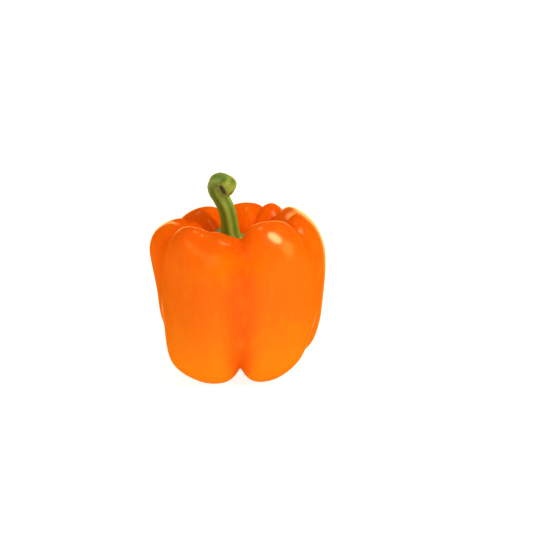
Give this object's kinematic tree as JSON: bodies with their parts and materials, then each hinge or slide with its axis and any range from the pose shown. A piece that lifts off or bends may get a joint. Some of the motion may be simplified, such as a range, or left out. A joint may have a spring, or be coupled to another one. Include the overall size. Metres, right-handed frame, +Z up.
{
  "type": "bell pepper",
  "caption": "Blocky orange bell pepper standing on its lobes, with a sunken stem cavity, a green star-shaped calyx and a ribbed stem that curls over at its cut end.",
  "frame": {"origin": "on the surface that the pepper stands on, under the middle of its box", "axes": "+Z up, from the feet to the stem; -Y the front, as the picture sees it; +X to the front view's right"},
  "size_m": [0.09, 0.0844, 0.1078],
  "materials": {
    "skin": "gloss",
    "calyx": "satin",
    "stem": "satin"
  },
  "bodies": {
    "root": {"fruit": "skin", "calyx": "calyx", "stem": "stem"}
  },
  "joints": []
}
